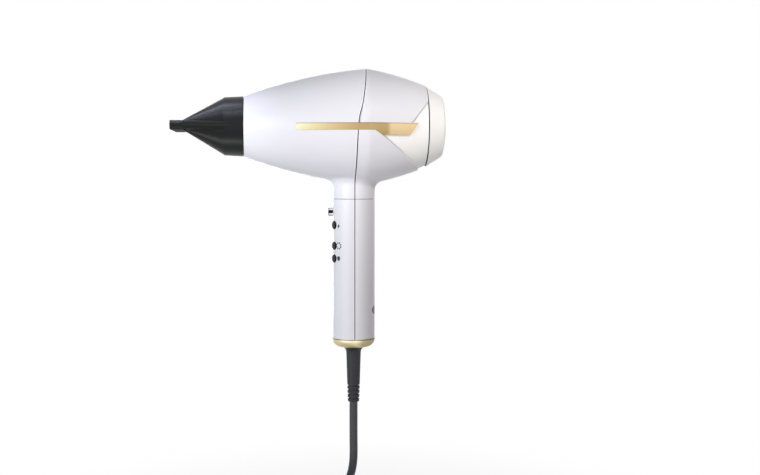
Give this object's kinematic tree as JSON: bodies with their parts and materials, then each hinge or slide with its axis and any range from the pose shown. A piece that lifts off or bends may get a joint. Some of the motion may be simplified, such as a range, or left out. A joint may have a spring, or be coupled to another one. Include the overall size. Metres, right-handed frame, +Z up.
{
  "type": "hair dryer",
  "caption": "Hand-held hair dryer with a swelling barrel, a clip-on slot nozzle, a removable rear intake cap, push buttons in a round handle, and a coiled mains cord.",
  "frame": {"origin": "middle of the grip, on the axis of the handle", "axes": "+Z up the handle to the barrel, -X along the barrel to the nozzle, Y across"},
  "size_m": [0.2354, 0.105, 0.3866],
  "materials": {
    "white_shell": "glossy white ABS with a faint lavender pearl",
    "pearl_shell": "glossy warm white ABS",
    "gold": "satin champagne gold",
    "black_rubber": "satin black rubber",
    "cord_jacket": "matt black PVC jacket",
    "pin_brass": "nickel-plated brass pins",
    "black_nylon": "semi-gloss black nylon",
    "grey_nylon": "grey glass-filled nylon",
    "button_chrome": "chrome-plated ABS",
    "button_black": "glossy black",
    "mica": "pressed mica sheet",
    "heater_wire": "nickel-chrome ribbon",
    "steel": "plated steel",
    "filter_steel": "dark woven steel",
    "board": "green solder mask on glass-epoxy board"
  },
  "bodies": {
    "housing": {"front_shell": "white_shell", "rear_shell": "white_shell", "handle_front": "white_shell", "handle_rear": "white_shell", "rear_cowl": "pearl_shell", "trim_left": "gold", "trim_right": "gold", "end_ring": "gold", "strain_relief": "black_rubber", "rear_plug": "black_rubber", "inner_cord": "cord_jacket", "cord_lead": "cord_jacket", "cord_coil": "cord_jacket", "cord_tail": "cord_jacket", "plug_body": "cord_jacket", "plug_pins": "pin_brass", "outlet_grille": "black_nylon", "heater_sleeve": "mica", "heater_frame": "mica", "heating_coils": "heater_wire", "thermal_cutout": "steel", "fan_duct": "grey_nylon", "motor": "steel", "switch_board": "board", "tact_switches": "button_black", "handle_screw": "steel", "cord_clamp": "grey_nylon", "clamp_screws": "steel"},
    "rotor": {"motor_shaft": "steel", "fan": "grey_nylon"},
    "nozzle_clip": {"nozzle_ring": "black_nylon"},
    "nozzle": {"nozzle": "black_nylon"},
    "cap": {"rear_cap": "pearl_shell", "intake_filter": "filter_steel"},
    "cool_shot": {"cool_shot_button": "button_chrome", "cool_shot_insert": "button_black"},
    "upper_button": {"upper_button": "button_black"},
    "middle_button": {"middle_button": "button_black"},
    "lower_button": {"lower_button": "button_black"}
  },
  "joints": [
    {"name": "fan_spin", "type": "hinge", "parent": "housing", "child": "rotor", "pos_m": [0, 0, 0.1485], "axis": [1, 0, 0], "continuous": true},
    {"name": "nozzle_pull", "type": "slide", "parent": "housing", "child": "nozzle_clip", "axis": [-1, 0, 0], "range_m": [0, 0.014]},
    {"name": "nozzle_turn", "type": "hinge", "parent": "nozzle_clip", "child": "nozzle", "pos_m": [0, 0, 0.1485], "axis": [1, 0, 0], "continuous": true},
    {"name": "cap_pull", "type": "slide", "parent": "housing", "child": "cap", "axis": [1, 0, 0], "range_m": [0, 0.012]},
    {"name": "cool_shot_press", "type": "slide", "parent": "housing", "child": "cool_shot", "axis": [1, 0, 0], "range_m": [0, 0.002], "stiffness_N_per_m": 600, "springref_m": -0.001},
    {"name": "upper_press", "type": "slide", "parent": "housing", "child": "upper_button", "axis": [0.9272, 0.3746, 0], "range_m": [0, 0.0008], "stiffness_N_per_m": 1200, "springref_m": -0.0005},
    {"name": "middle_press", "type": "slide", "parent": "housing", "child": "middle_button", "axis": [0.9272, 0.3746, 0], "range_m": [0, 0.0008], "stiffness_N_per_m": 1200, "springref_m": -0.0005},
    {"name": "lower_press", "type": "slide", "parent": "housing", "child": "lower_button", "axis": [0.9272, 0.3746, 0], "range_m": [0, 0.0008], "stiffness_N_per_m": 1200, "springref_m": -0.0005}
  ]
}
